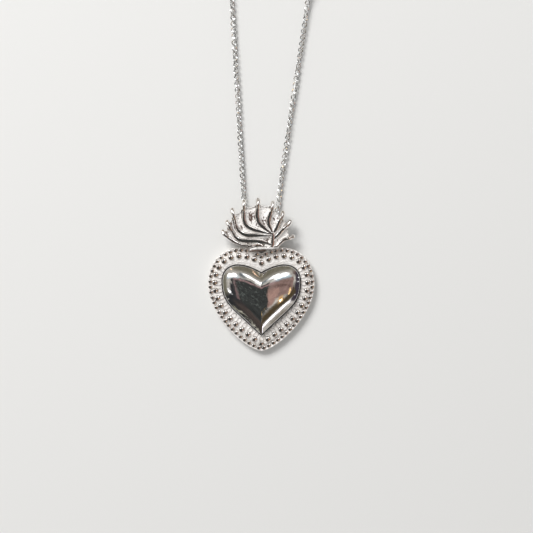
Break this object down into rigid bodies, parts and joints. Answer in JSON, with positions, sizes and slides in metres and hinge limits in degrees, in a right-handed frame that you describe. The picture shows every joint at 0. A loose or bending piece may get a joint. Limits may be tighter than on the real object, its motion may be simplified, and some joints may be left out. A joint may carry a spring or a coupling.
{
  "type": "sacred heart pendant",
  "caption": "Silver pendant lying face up: a puffed heart in a beaded heart plate under a crown of flames, hung on a fine round-link chain that runs through a bail tube behind the flames.",
  "frame": {"origin": "middle of the heart plate's flat back, on the surface that the pendant lies on", "axes": "+Y towards the flames and the chain, +Z out of the pendant's face, +X to the right of someone who looks at the face"},
  "size_m": [0.0191, 0.0813, 0.0039],
  "materials": {
    "cast_silver": "bright cast silver",
    "polished_silver": "mirror polish",
    "crown_silver": "cast silver, ribs polished and hollows dull",
    "chain_silver": "polished wire"
  },
  "bodies": {
    "root": {"heart_plate": "cast_silver", "heart_dome": "polished_silver", "flame_crown": "crown_silver", "bail_tube": "polished_silver", "chain_left": "chain_silver", "chain_right": "chain_silver", "chain_coil": "chain_silver", "clasp_hook": "chain_silver", "end_ring_left": "chain_silver", "end_ring_right": "chain_silver"}
  },
  "joints": []
}
